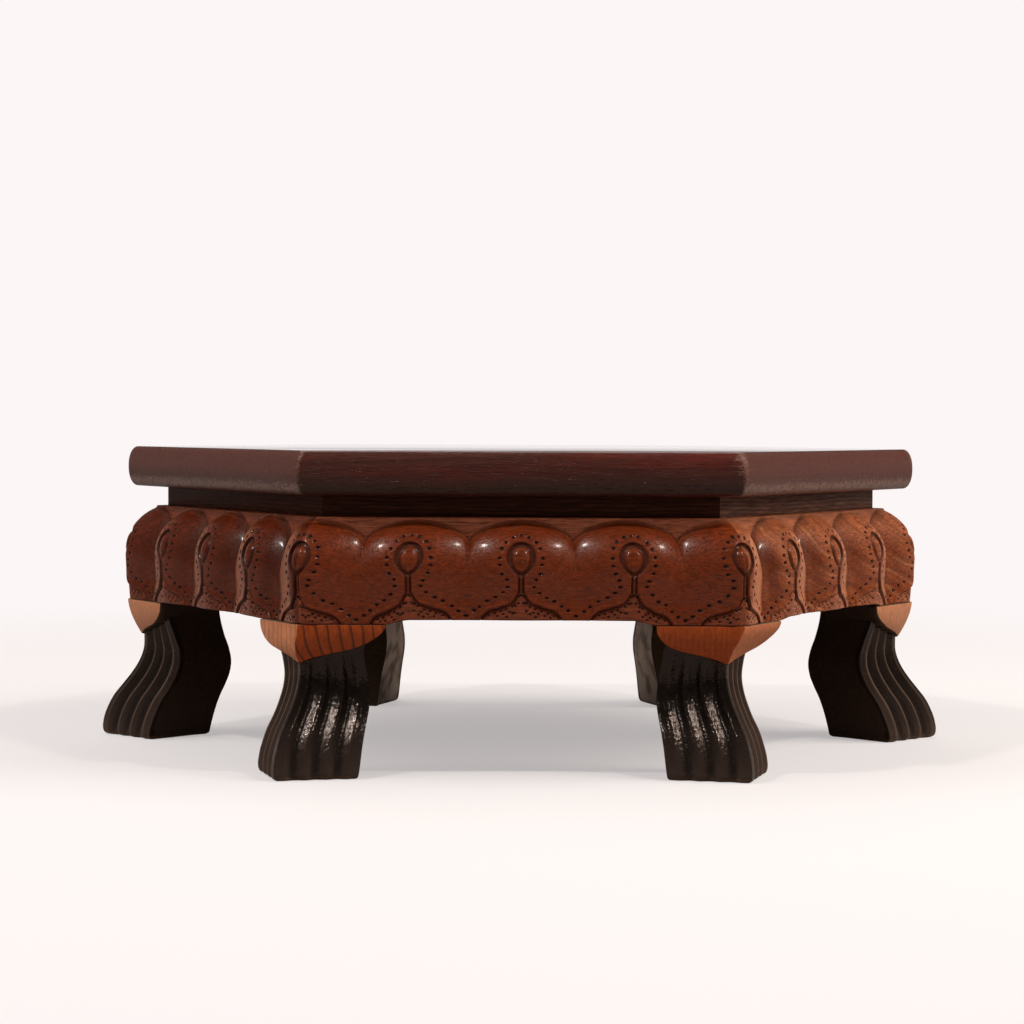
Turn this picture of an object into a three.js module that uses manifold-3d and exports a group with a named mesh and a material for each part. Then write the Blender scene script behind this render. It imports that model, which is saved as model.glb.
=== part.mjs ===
// A low table with a hexagonal top. Three boards are joined edge to edge for the top. They lie on a
// thin mitred neck frame, which sits back under them. Below it six carved boards, mitred at the
// corners, make the apron. Six legs, each cut from a square block that stands corner outwards, carry
// it: a post inside the apron, a bare wooden knee under it, and a reeded foot that sweeps outwards.
// Sizes are in millimetres, +Z is up, and the origin is on the floor under the middle of the top.
// +X points to the right-hand corner, along the grain of the top boards, and -Y is the front.
import * as THREE from "three";
import { mergeVertices } from "three/addons/utils/BufferGeometryUtils.js";
import Module from "manifold-3d";

const wasm = await Module();
wasm.setup();

// Heights, from the floor up
const legClearance = 86.5; // floor to the underside of the apron
const apronHeight = 59.5;
const neckThickness = 12.5;
const topThickness = 25;

// Plan of the table. A setback is measured square to a side, in from the edge of the top.
const topSide = 250; // one side of the top, and so also the distance from its middle to a corner
const apronSetback = 16; // to the top edge of the apron
const neckSetback = 22.2;
const neckWidth = 44;

// Top
const edgeBulge = 6.5; // how far the rounded edge of the top swells, at a corner
const edgeRoundness = 2.2; // exponent of that curve: 2 is an ellipse, more is squarer
const edgeSteps = 10;
const topBoards = ["front", "middle", "rear"];
const boardGap = 0.2; // glue line between two boards
const splineWidth = 20;
const splineThickness = 5;
const splineStop = 24; // from each end of a spline to the side of the top

// Apron boards
const apronEdgeThickness = 12.5; // at the top edge of the board
const petalReach = 19.3; // how far the petals swell out beyond that edge
const petalsPerSide = 4;
const petalDepth = 7; // from a petal's crest back to the valley between two petals
const petalRoundness = 2.4; // exponent of a petal's section: more is flatter in the middle
const archSetback = 1; // from the top edge down to where a petal starts in its middle
const archDrop = 12.5; // how much lower a petal starts at its sides than in its middle
const shoulderHeight = 27; // from a petal's start down to where it reaches furthest
const shoulderPower = 0.7; // 0.5 gives the petals round shoulders, 1 sloping ones
const groundLean = 0.12; // slope of the background above the petals
const skirtDip = 1.5; // how far the petals draw in again at the bottom edge
const skirtFade = 0.45; // share of the petals' relief that is left at the bottom edge
const fadeHeight = 12; // height above the bottom edge over which the relief fades
const apronCornerRadius = 13; // rounding of the outer corner where two boards meet
const petalColumnShares = [0, 0.38, 0.71, 0.93, 1]; // of a petal's half width, from its crest
const cornerColumnShares = [1, 0.5]; // of the corner's rounding
const shoulderRowShares = [0, 0.05, 0.17, 0.36, 0.64, 1];
const skirtRowShares = [0.4, 0.7, 1];
const mitreGap = 0.2;

// Keys across the mitres of the apron
const keyThickness = 3;
const keyWidth = 14;
const keyLength = 40;
const keyLift = 7; // above the apron's bottom edge
const keyInset = 13; // from the apron's inner corner out to the key's middle

// Legs. A radius is measured from the middle of the table along the leg's diagonal.
const toeReach = 16; // how far the toe stands out past the corner of the top
const ankleSetback = 10; // how far the ankle stays inside that corner
const footDepth = 68; // toe to heel on the floor
const calfDepth = 56; // ankle to the fullest point of the leg's inner corner
const footHalfWidth = 35.5;
const reedsPerFace = 3; // whole reeds beside the one that wraps the corner
const reedDepth = 2.1;
const reedSteps = 3;
const cornerReedShare = 0.23; // share of a face that the corner reed covers
const sideReedEndShare = 0.5; // how far the last reed falls to its groove at the leg's side corner
// Stations of the leg: height as a share of the clearance, toe from the ankle's radius at 0 to the
// toe's at 1, heel from the calf's radius at 0 to the heel's at 1, and a share of the half width.
const legShares = [
  [0, 0.96, 1, 0.96],
  [0.03, 1, 0.97, 0.985],
  [0.12, 0.99, 0.84, 1],
  [0.2, 0.9, 0.7, 0.985],
  [0.29, 0.74, 0.5, 0.96],
  [0.37, 0.53, 0.27, 0.925],
  [0.45, 0.32, 0.08, 0.9],
  [0.54, 0.13, 0, 0.865],
  [0.63, 0.02, 0.09, 0.83],
  [0.74, 0, 0.32, 0.815],
  [0.88, 0, 0.52, 0.84],
  [1, 0, 0.57, 0.86],
];

// Knee: a shield of bare wood on each face of the leg, under the apron
const kneeDrop = 22.5; // from the apron down to the knee's point
const kneeWing = 50; // from the corner to the end of a wing, along a side
const kneeTaper = 8; // how far the knee draws in towards its point
// Outline of a wing: share of its length, and share of the drop left there
const kneeShares = [
  [0.02, 1],
  [0.17, 0.87],
  [0.42, 0.74],
  [0.64, 0.63],
  [0.76, 0.53],
  [0.87, 0.39],
  [0.96, 0.22],
  [1, 0],
];

// Post at the top of each leg, inside the apron
const postGap = 0.3;
const postHaunch = 10; // height over which the post swells from the leg's inner corner
const postDepth = 32; // along the diagonal

// Wood screws, all alike but for their length
const screwRadius = 2;
const headRadius = 4;
const headDepth = 2.6;
const tipLength = 4;
const screwSides = 8;
const fitClearance = 0.2;
const cutOverrun = 12; // how far a cutting tool runs past the face that it enters
const legScrewLength = 43;
const legScrewSink = 2.4; // head below the post's inner face
const legScrewFromCorner = 12; // along the apron's inner face
const lowerScrewLift = 13; // above the apron's bottom edge
const upperScrewLift = 29;
const neckScrewLength = 31;
const neckScrewFromCorner = 15.5;
const neckScrewInset = 9.5; // in from the apron's inner face
const topScrewLength = 29;
const topScrewInset = 29; // in from the neck's outer face
const topScrewOffset = 60; // towards a side corner, so that the middle board is held too

const sides = 6;
const mitre = Math.PI / sides; // half the angle that one side takes of a full turn
const rightAngle = Math.PI / 2;

// Distances from the middle of the table, square to a side
const topFace = topSide * Math.cos(mitre);
const neckFace = topFace - neckSetback;
const apronEdge = topFace - apronSetback;
const apronInner = apronEdge - apronEdgeThickness;
const postFace = apronInner - postGap;

// Distances from the middle of the table to a corner of the leg
const toeRadius = topSide + toeReach;
const ankleRadius = topSide - ankleSetback;
const heelRadius = toeRadius - footDepth;
const calfRadius = ankleRadius - calfDepth;
const postCorner = postFace / Math.cos(mitre);

// Heights of the faces that lie on each other
const apronTop = legClearance + apronHeight;
const neckTop = apronTop + neckThickness;

const facets = ["rear_right", "rear", "rear_left", "front_left", "front", "front_right"].map(
  (name, i) => ({ name, turn: mitre * (2 * i + 1) - rightAngle }),
);
const corners = ["right", "rear_right", "rear_left", "left", "front_left", "front_right"].map(
  (name, i) => ({ name, turn: mitre * 2 * i }),
);

const finish = (color, roughness, metalness) =>
  new THREE.MeshStandardMaterial({ color, roughness, metalness });
const wood = (color, roughness) => finish(color, roughness, 0);
const topWood = () => wood(0x4a211d, 0.32);
const neckWood = () => wood(0x35211b, 0.5);
const carvedWood = () => wood(0x7a3a1d, 0.42);
const legWood = () => wood(0x1c1613, 0.35);
const innerWood = () => wood(0xb98a5a, 0.7);
const screwSteel = () => finish(0x8d8a84, 0.45, 0.9);

// Solids

function solidOf(geometry) {
  const bare = new THREE.BufferGeometry();
  bare.setAttribute("position", geometry.getAttribute("position"));
  bare.setIndex(geometry.getIndex());
  const merged = mergeVertices(bare);
  const solid = new wasm.Manifold(
    new wasm.Mesh({
      numProp: 3,
      vertProperties: merged.getAttribute("position").array,
      triVerts: new Uint32Array(merged.getIndex().array),
    }),
  );
  return solid;
}

function geometryOf(solid) {
  const mesh = solid.getMesh();
  const geometry = new THREE.BufferGeometry();
  geometry.setAttribute("position", new THREE.BufferAttribute(mesh.vertProperties, mesh.numProp));
  geometry.setIndex(new THREE.BufferAttribute(mesh.triVerts, 1));
  geometry.computeVertexNormals();
  return geometry;
}

// A closed skin through loops of equally many points, with both ends capped. The loops run
// anticlockwise when seen from the end that they grow towards. The caps are cut into triangles in the
// plane of the two axes named, which have to turn the same way as the loop.
function loft(loops, axisA, axisB) {
  const size = loops[0].length;
  const positions = loops.flat().flatMap((p) => [p.x, p.y, p.z]);
  const index = [];
  for (let i = 0; i + 1 < loops.length; i++) {
    for (let j = 0; j < size; j++) {
      const a = i * size + j;
      const b = i * size + ((j + 1) % size);
      index.push(a, b, b + size, a, b + size, a + size);
    }
  }
  const flat = (loop) => loop.map((p) => new THREE.Vector2(p[axisA], p[axisB]));
  for (const [a, b, c] of THREE.ShapeUtils.triangulateShape(flat(loops[0]), [])) index.push(a, c, b);
  const last = (loops.length - 1) * size;
  for (const [a, b, c] of THREE.ShapeUtils.triangulateShape(flat(loops.at(-1)), [])) {
    index.push(last + a, last + b, last + c);
  }
  const geometry = new THREE.BufferGeometry();
  geometry.setAttribute("position", new THREE.Float32BufferAttribute(positions, 3));
  geometry.setIndex(index);
  return geometry;
}

// A turned solid about the Z axis from a profile of [radius, height] points
function turned(profile, segments, start = 0) {
  const points = profile.map(([radius, height]) => new THREE.Vector2(radius, height));
  return new THREE.LatheGeometry(points, segments, start).rotateX(rightAngle);
}

function boxAt(width, depth, height, x, y, z) {
  return new THREE.BoxGeometry(width, depth, height).translate(x, y, z);
}

// A wood screw whose head lies at the origin, pointing down. With a clearance it is the tool that
// cuts its hole, and a run then lengthens it above the head.
function screw(length, clearance = 0, run = 0) {
  const head = headRadius + clearance;
  const shank = screwRadius + clearance;
  const profile = [
    [0, -length - clearance],
    [shank, -length + tipLength],
    [shank, -headDepth],
    [head, 0],
    [0, 0],
  ];
  if (run) profile.splice(4, 1, [head, run], [0, run]);
  return turned(profile, screwSides);
}

function mesh(name, geometry, material) {
  const made = new THREE.Mesh(geometry, material);
  made.name = name;
  return made;
}

function turnedGroup(turn, ...members) {
  const group = new THREE.Group();
  group.rotation.z = turn;
  if (members.length) group.add(...members);
  return group;
}

// Screws. Each place moves a screw from the origin into the frame of a side, in which +Y is the
// outward normal of the side, and its right-hand corner lies at +X.

const innerCorner = apronInner * Math.tan(mitre);
const innerRadius = apronInner / Math.cos(mitre);
const legScrewX = innerCorner - legScrewFromCorner;

// The head of a leg screw is sunk into the far inner face of the post, which stands at half a right
// angle to the leg's diagonal. The distance runs from the apron's inner face to that face.
const postInner = postCorner - postDepth;
const legScrewRun = (() => {
  const x = innerRadius - legScrewFromCorner * Math.sin(mitre);
  const y = legScrewFromCorner * Math.cos(mitre);
  return (x + y - postInner) / (Math.cos(mitre) + Math.sin(mitre));
})();

const legScrewPlaces = [
  { end: "lower", side: 1, lift: lowerScrewLift },
  { end: "upper", side: -1, lift: upperScrewLift },
].map(({ end, side, lift }) => ({
  end,
  side,
  place: (geometry) =>
    geometry
      .rotateX(rightAngle)
      .translate(side * legScrewX, apronInner - legScrewRun + legScrewSink, legClearance + lift),
}));

const neckScrewPlaces = [1, -1].map((side) => ({
  side,
  place: (geometry) =>
    geometry.translate(side * (innerCorner - neckScrewFromCorner), apronInner - neckScrewInset, neckTop),
}));

// The two side corners of the top, at +X and -X, draw the screws of the four boards that meet there.
const topScrewShift = ({ turn }) => {
  const slanted = Math.abs(Math.sin(turn)) > Math.sin(mitre);
  return slanted ? -Math.sign(Math.sin(turn) * Math.cos(turn)) * topScrewOffset : 0;
};
const placeTopScrew = (geometry, facet) =>
  geometry.rotateX(2 * rightAngle).translate(topScrewShift(facet), neckFace - topScrewInset, apronTop);

function topTable(root) {
  const half = topThickness / 2;
  const profile = [[0, neckTop]];
  for (let i = 0; i <= edgeSteps; i++) {
    const angle = rightAngle * ((2 * i) / edgeSteps - 1);
    const height = Math.sign(angle) * Math.abs(Math.sin(angle)) ** (2 / edgeRoundness);
    const swell = Math.abs(Math.cos(angle)) ** (2 / edgeRoundness);
    const bevel = i === 0 || i === edgeSteps ? 0 : swell;
    profile.push([topSide - edgeBulge * (1 - bevel), neckTop + half * (1 + height)]);
  }
  profile.push([0, neckTop + topThickness]);
  let slab = solidOf(turned(profile, sides, mitre));
  for (const facet of facets) {
    const tool = placeTopScrew(screw(topScrewLength, fitClearance), facet).rotateZ(facet.turn);
    slab = slab.subtract(solidOf(tool));
  }

  const boardWidth = (2 * topFace) / topBoards.length;
  const splineY = boardWidth / 2;
  const splineLength = 2 * (topSide - splineY * Math.tan(mitre) - splineStop);
  const spline = (side, clearance) =>
    boxAt(
      splineLength + 2 * clearance,
      splineWidth + 2 * clearance,
      splineThickness + 2 * clearance,
      0,
      side * splineY,
      neckTop + half,
    );
  for (const side of [-1, 1]) slab = slab.subtract(solidOf(spline(side, fitClearance)));

  topBoards.forEach((name, i) => {
    const middle = (i - (topBoards.length - 1) / 2) * boardWidth;
    const slice = boxAt(2 * toeRadius, boardWidth - boardGap, 2 * neckTop, 0, middle, neckTop);
    root.add(mesh("top_board_" + name, geometryOf(slab.intersect(solidOf(slice))), topWood()));
  });
  root.add(mesh("top_spline_front", spline(-1, 0), innerWood()));
  root.add(mesh("top_spline_rear", spline(1, 0), innerWood()));
}

function neckBoard() {
  const inner = neckFace - neckWidth;
  const outerHalf = neckFace * Math.tan(mitre) - mitreGap;
  const innerHalf = inner * Math.tan(mitre) - mitreGap;
  const outline = new THREE.Shape([
    new THREE.Vector2(-outerHalf, neckFace),
    new THREE.Vector2(-innerHalf, inner),
    new THREE.Vector2(innerHalf, inner),
    new THREE.Vector2(outerHalf, neckFace),
  ]);
  const board = new THREE.ExtrudeGeometry(outline, { depth: neckThickness, bevelEnabled: false });
  return solidOf(board.translate(0, 0, apronTop));
}

function neckFrame(root) {
  for (const facet of facets) {
    let board = neckBoard();
    const group = turnedGroup(facet.turn);
    for (const { place } of neckScrewPlaces) {
      board = board.subtract(solidOf(place(screw(neckScrewLength, fitClearance, cutOverrun))));
    }
    board = board.subtract(solidOf(placeTopScrew(screw(topScrewLength, fitClearance, cutOverrun), facet)));
    group.add(mesh("neck_board_" + facet.name, geometryOf(board), neckWood()));
    for (const { side, place } of neckScrewPlaces) {
      const name = "neck_screw_" + facet.name + (side > 0 ? "_right" : "_left");
      group.add(mesh(name, place(screw(neckScrewLength)), screwSteel()));
    }
    group.add(mesh("top_screw_" + facet.name, placeTopScrew(screw(topScrewLength), facet), screwSteel()));
    root.add(group);
  }
}

// The apron's carved face. A place along a side is measured where the side is as long as the top's,
// and a drop is a depth below the top edge.
const halfPetal = topSide / petalsPerSide / 2;
const cornerRun = apronCornerRadius * Math.tan(mitre);

// Share of a petal's half width, from its crest out to the valley
function acrossPetal(along) {
  const halves = along / halfPetal;
  return Math.abs(halves - 2 * Math.round(halves / 2));
}

// The drop at which the petal starts, along its arch
function petalStart(along) {
  return archSetback + archDrop * (1 - Math.sqrt(1 - acrossPetal(along) ** 2));
}

// How far out the face lies, square to the side
function apronFace(along, drop) {
  const rise = THREE.MathUtils.clamp((drop - petalStart(along)) / shoulderHeight, 0, 1);
  const shoulder = (1 - (1 - rise) ** 2) ** shoulderPower;
  const fade = THREE.MathUtils.clamp((drop - apronHeight + fadeHeight) / fadeHeight, 0, 1);
  const relief = petalDepth * (1 - (1 - skirtFade) * fade) * acrossPetal(along) ** petalRoundness;
  const skirt = Math.max(0, (drop - shoulderHeight) / (apronHeight - shoulderHeight));
  const petal = petalReach - relief - skirtDip * skirt ** 2;
  const intoCorner = Math.max(0, cornerRun - (topSide / 2 - Math.abs(along)));
  const ease = apronCornerRadius - Math.sqrt(apronCornerRadius ** 2 - intoCorner ** 2);
  return apronEdge + THREE.MathUtils.lerp(groundLean * drop, petal - ease, shoulder);
}

function mitreKey(clearance) {
  return boxAt(
    keyThickness + 2 * clearance,
    keyWidth + 2 * clearance,
    keyLength + 2 * clearance,
    innerRadius + keyInset,
    0,
    legClearance + keyLift + keyLength / 2,
  );
}

// Places along a side, from corner to corner: across each half petal from its crest to the valley,
// and two more on the rounding of each corner
function apronColumns() {
  const places = new Set(cornerColumnShares.map((share) => topSide / 2 - cornerRun * share));
  for (let i = 0; i < petalsPerSide; i++) {
    for (const share of petalColumnShares) {
      places.add(halfPetal * (i % 2 ? i + 1 - share : i + share));
    }
  }
  const half = [...places].sort((a, b) => a - b);
  return [...half.slice(1).reverse().map((place) => -place), ...half];
}

function apronBoard() {
  const loops = apronColumns().map((column) => {
    const along = column * (1 - (2 * mitreGap) / topSide);
    const point = (face, drop) => new THREE.Vector3((along * face) / topFace, face, apronTop - drop);
    const start = petalStart(column);
    const reach = start + shoulderHeight;
    const drops = [
      0,
      ...shoulderRowShares.map((share) => start + share * shoulderHeight),
      ...skirtRowShares.map((share) => reach + share * (apronHeight - reach)),
    ];
    const outer = drops.map((drop) => point(apronFace(column, drop), drop)).reverse();
    return [point(apronInner, 0), point(apronInner, apronHeight), ...outer];
  });
  let board = solidOf(loft(loops, "y", "z"));
  for (const { place } of legScrewPlaces) {
    board = board.subtract(solidOf(place(screw(legScrewLength, fitClearance))));
  }
  for (const turn of [2 * mitre, 4 * mitre]) {
    board = board.subtract(solidOf(mitreKey(fitClearance).rotateZ(turn)));
  }
  return board;
}

function apron(root) {
  const board = geometryOf(apronBoard());
  for (const facet of facets) {
    root.add(turnedGroup(facet.turn, mesh("apron_board_" + facet.name, board.clone(), carvedWood())));
  }
  for (const corner of corners) {
    root.add(turnedGroup(corner.turn, mesh("mitre_key_" + corner.name, mitreKey(0), innerWood())));
  }
}

// One level of the leg: from the corner reed round by one reeded face, the two flat inner faces and
// the other reeded face. A groove lies under the straight line from the toe to the side corner.
function legLoop([heightShare, toeShare, heelShare, widthShare]) {
  const toe = ankleRadius + (toeRadius - ankleRadius) * toeShare;
  const heel = calfRadius + (heelRadius - calfRadius) * heelShare;
  const halfWidth = footHalfWidth * widthShare;
  const height = legClearance * heightShare;
  const corner = new THREE.Vector2(toe, 0);
  const sideCorner = new THREE.Vector2(heel + halfWidth, halfWidth);
  const face = sideCorner.clone().sub(corner);
  const inward = new THREE.Vector2(-face.y, face.x).normalize();
  const onFace = (share, depth) =>
    corner.clone().addScaledVector(face, share).addScaledVector(inward, depth);

  const half = [];
  const groove = onFace(cornerReedShare, reedDepth);
  for (let i = 0; i < reedSteps; i++) {
    const t = i / reedSteps;
    half.push(new THREE.Vector2(corner.x + (groove.x - corner.x) * t ** 2, groove.y * t));
  }
  const reedShare = (1 - cornerReedShare) / reedsPerFace;
  for (let reed = 0; reed < reedsPerFace; reed++) {
    const steps = reed === reedsPerFace - 1 ? reedSteps + 1 : reedSteps;
    for (let i = 0; i < steps; i++) {
      const t = i / reedSteps;
      const fall = t === 1 ? sideReedEndShare : (2 * t - 1) ** 2;
      half.push(onFace(cornerReedShare + reedShare * (reed + t), reedDepth * fall));
    }
  }
  const other = half.slice(1).reverse().map((p) => new THREE.Vector2(p.x, -p.y));
  return [...half, new THREE.Vector2(heel, 0), ...other].map((p) => new THREE.Vector3(p.x, p.y, height));
}

// A four-sided level of the knee or the post: its outer corner points along the leg's diagonal, and
// its two outer faces run parallel to the sides of the table.
function kiteLoop(outer, inner, wing, height) {
  const x = outer - wing * Math.sin(mitre);
  const y = wing * Math.cos(mitre);
  return [
    new THREE.Vector3(outer, 0, height),
    new THREE.Vector3(x, y, height),
    new THREE.Vector3(inner, 0, height),
    new THREE.Vector3(x, -y, height),
  ];
}

// The leg's inner corner where the reeded part ends, under the apron
const [, , topHeelShare] = legShares.at(-1);
const topHeel = calfRadius + (heelRadius - calfRadius) * topHeelShare;

function knee() {
  const loops = kneeShares.map(([wingShare, dropShare]) => {
    const outer = topSide - kneeTaper * dropShare;
    return kiteLoop(outer, topHeel, kneeWing * wingShare, legClearance - kneeDrop * dropShare);
  });
  return loft(loops, "x", "y");
}

function post() {
  const level = (inner, height) => {
    const wing = (postCorner - inner) / (Math.sin(mitre) + Math.cos(mitre));
    return kiteLoop(postCorner, inner, wing, height);
  };
  const loops = [
    level(topHeel, legClearance - kneeDrop / 2),
    level(topHeel, legClearance),
    level(postInner, legClearance + postHaunch),
    level(postInner, apronTop),
  ];
  return loft(loops, "x", "y");
}

function legSolid() {
  let leg = solidOf(loft(legShares.map(legLoop), "x", "y"));
  leg = leg.add(solidOf(knee())).add(solidOf(post()));
  for (const { side, place } of legScrewPlaces) {
    const tool = place(screw(legScrewLength, fitClearance, cutOverrun)).rotateZ((side - 3) * mitre);
    leg = leg.subtract(solidOf(tool));
  }
  for (const { side, place } of neckScrewPlaces) {
    const tool = place(screw(neckScrewLength, fitClearance)).rotateZ((side - 3) * mitre);
    leg = leg.subtract(solidOf(tool));
  }
  return leg;
}

function legs(root) {
  const leg = geometryOf(legSolid());
  for (const corner of corners) {
    const group = turnedGroup(corner.turn, mesh("leg_" + corner.name, leg.clone(), legWood()));
    for (const { end, side, place } of legScrewPlaces) {
      const geometry = place(screw(legScrewLength)).rotateZ((side - 3) * mitre);
      group.add(mesh("leg_screw_" + corner.name + "_" + end, geometry, screwSteel()));
    }
    root.add(group);
  }
}

const table = new THREE.Group();
table.name = "low_table";
topTable(table);
neckFrame(table);
apron(table);
legs(table);

export default table;
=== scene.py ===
import math
import random

import bpy
import numpy as np
from mathutils import Matrix


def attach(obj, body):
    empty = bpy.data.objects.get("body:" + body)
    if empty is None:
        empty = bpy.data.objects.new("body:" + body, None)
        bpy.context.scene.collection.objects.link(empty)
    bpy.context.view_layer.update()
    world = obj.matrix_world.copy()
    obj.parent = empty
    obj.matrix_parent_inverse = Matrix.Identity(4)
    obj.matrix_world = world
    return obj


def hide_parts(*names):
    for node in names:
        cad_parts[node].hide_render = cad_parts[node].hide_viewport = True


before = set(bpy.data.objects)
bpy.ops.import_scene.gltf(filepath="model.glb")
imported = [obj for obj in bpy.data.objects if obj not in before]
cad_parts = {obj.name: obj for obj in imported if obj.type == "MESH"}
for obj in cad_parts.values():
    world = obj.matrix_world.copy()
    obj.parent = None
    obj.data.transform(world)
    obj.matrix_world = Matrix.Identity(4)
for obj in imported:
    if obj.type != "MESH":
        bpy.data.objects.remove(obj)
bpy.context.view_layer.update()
bpy.ops.object.select_all(action="DESELECT")


# Camera, floor and light
# The camera looks slightly down from just above the top. Two small soft boxes hang high in front, three
# large ones light the sides and the rear, and a pale floor runs out to a background of its own colour.

mm = 0.001
camera_place = (-5.3 * mm, -1732.4 * mm, 199.9 * mm)
camera_tilt = math.pi / 2 - 0.0331
camera_roll = 0.0043
floor_radius = 1.5
floor_fades = (0.45, 1.35)
lamp_aim = (0, 0, 100 * mm)

camera = bpy.data.objects.new("camera", bpy.data.cameras.new("camera"))
bpy.context.collection.objects.link(camera)
camera.data.sensor_width = 36
camera.data.lens = 95.7
camera_turn = Matrix.Rotation(camera_tilt, 4, "X") @ Matrix.Rotation(camera_roll, 4, "Z")
camera.matrix_world = Matrix.Translation(camera_place) @ camera_turn
bpy.context.scene.camera = camera
bpy.context.scene.view_settings.view_transform = "Standard"


def linear(red, green, blue):
    """A colour given as it shows on a screen, from 0 to 255, in the renderer's own values."""
    shares = [value / 255 for value in (red, green, blue)]
    return tuple(s / 12.92 if s < 0.04045 else ((s + 0.055) / 1.055) ** 2.4 for s in shares) + (1,)


def add_node(tree, kind, inputs=None, **settings):
    """A shader node with its settings, and with each input set to a value or linked to a socket."""
    made = tree.nodes.new(kind)
    for key, value in settings.items():
        setattr(made, key, value)
    for key, value in (inputs or {}).items():
        if isinstance(value, bpy.types.NodeSocket):
            tree.links.new(value, made.inputs[key])
        else:
            made.inputs[key].default_value = value
    return made


def calc(tree, operation, first, second=0.0, third=0.0):
    inputs = {0: first, 1: second, 2: third}
    return add_node(tree, "ShaderNodeMath", inputs, operation=operation).outputs[0]


def times(tree, first, second):
    return calc(tree, "MULTIPLY", first, second)


def scaled(tree, value, gain, level):
    return calc(tree, "MULTIPLY_ADD", value, gain, level)


def between(tree, value, low, high, start=0.0, end=1.0, steps="LINEAR"):
    """A value's place between two levels, held at both, as a number from start to end."""
    inputs = {0: value, 1: low, 2: high, 3: start, 4: end}
    return add_node(tree, "ShaderNodeMapRange", inputs, interpolation_type=steps).outputs[0]


def blend(tree, share, first, second, kind="MIX"):
    """One colour turned into another by a share, or multiplied. Three numbers are a screen's colour."""
    first, second = (linear(*c) if isinstance(c, tuple) and len(c) == 3 else c for c in (first, second))
    inputs = {0: share, 6: first, 7: second}
    return add_node(tree, "ShaderNodeMix", inputs, data_type="RGBA", blend_type=kind).outputs[2]


def new_material(name):
    """An empty material, and its node tree."""
    material = bpy.data.materials.new(name)
    material.use_nodes = True
    material.node_tree.nodes.clear()
    return material, material.node_tree


def object_place(tree):
    return add_node(tree, "ShaderNodeTexCoord").outputs["Object"]


backdrop = linear(252, 246, 246)
bpy.context.scene.world = world = bpy.data.worlds.new("studio")
world.use_nodes = True
tree = world.node_tree
tree.nodes.clear()
ray = add_node(tree, "ShaderNodeLightPath").outputs
toward = add_node(tree, "ShaderNodeTexCoord").outputs["Generated"]
toward = add_node(tree, "ShaderNodeSeparateXYZ", {0: toward}).outputs
behind = between(tree, toward["Y"], 0.7, 0.95)
band = between(tree, calc(tree, "ABSOLUTE", toward["Z"]), 0.14, 0.06)
in_gloss = times(tree, times(tree, ray["Is Glossy Ray"], behind), band)
seen = calc(tree, "MAXIMUM", ray["Is Camera Ray"], ray["Is Transmission Ray"])
strength = scaled(tree, ray["Is Glossy Ray"], -0.16, 0.24)
dim = add_node(tree, "ShaderNodeBackground", {"Color": (1, 0.96, 0.93, 1), "Strength": strength})
shown = add_node(tree, "ShaderNodeBackground", {"Color": backdrop, "Strength": 1.0})
pale_share = calc(tree, "MAXIMUM", seen, in_gloss)
choice = add_node(tree, "ShaderNodeMixShader", {0: pale_share, 1: dim.outputs[0], 2: shown.outputs[0]})
add_node(tree, "ShaderNodeOutputWorld", {"Surface": choice.outputs[0]})


def dress(piece, *finishes):
    for finish in finishes:
        piece.data.materials.append(finish)


bpy.ops.mesh.primitive_circle_add(vertices=96, radius=floor_radius, fill_type="NGON", location=(0, 0, 0))
floor = bpy.context.object
floor.name = "floor"
pale_floor, tree = new_material("pale_floor")
ray = add_node(tree, "ShaderNodeLightPath").outputs
reach = add_node(tree, "ShaderNodeVectorMath", {0: object_place(tree)}, operation="LENGTH")
far = between(tree, reach.outputs["Value"], *floor_fades, steps="SMOOTHSTEP")
paint = blend(tree, ray["Is Camera Ray"], (0.28, 0.25, 0.24, 1), (0.76, 0.74, 0.74, 1))
lit = add_node(tree, "ShaderNodeBsdfDiffuse", {"Color": paint})
glow = add_node(tree, "ShaderNodeEmission", {"Color": backdrop, "Strength": 1.0})
seen = calc(tree, "MAXIMUM", ray["Is Camera Ray"], ray["Is Transmission Ray"])
share = times(tree, scaled(tree, far, 0.55, 0.45), seen)
both = add_node(tree, "ShaderNodeMixShader", {0: share, 1: lit.outputs[0], 2: glow.outputs[0]})
add_node(tree, "ShaderNodeOutputMaterial", {"Surface": both.outputs[0]})
dress(floor, pale_floor)


def turned(degrees):
    """A turn about the middle of the table."""
    return Matrix.Rotation(math.radians(degrees), 4, "Z")


def soft_box(name, around, up, distance, size, power, color, mirrored=True):
    """A square lamp aimed at the table, placed by its angles from the front and from the floor."""
    lamp = bpy.data.objects.new(name, bpy.data.lights.new(name, "AREA"))
    bpy.context.collection.objects.link(lamp)
    lamp.data.shape = "SQUARE"
    lamp.data.size = size
    lamp.data.energy = power
    lamp.data.color = color
    lamp.visible_glossy = mirrored
    lamp.matrix_world = (
        Matrix.Translation(lamp_aim)
        @ turned(around)
        @ Matrix.Rotation(math.radians(90 - up), 4, "X")
        @ Matrix.Translation((0, 0, distance))
    )


soft_box("warm_box", 50, 50, 2.2, 0.14, 12, (1, 0.92, 0.84))
soft_box("cool_box", -50, 50, 2.2, 0.13, 14, (1, 0.95, 0.92))
soft_box("right_box", 84, 34, 2.4, 1.7, 48, (1, 0.92, 0.83), mirrored=False)
soft_box("left_box", -84, 34, 2.4, 1.7, 24, (1, 0.92, 0.85), mirrored=False)
soft_box("rear_box", 190, 55, 2.6, 1.6, 14, (1, 0.96, 0.92))


# Apron: six boards, mitred at the corners
# Each is sawn from a plank of a stained red-brown hardwood and carved by hand with petals. A petal has
# a droplet in a sunk ring, a stem, two lobes over a sunk field, and rows of punched dots.

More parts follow.
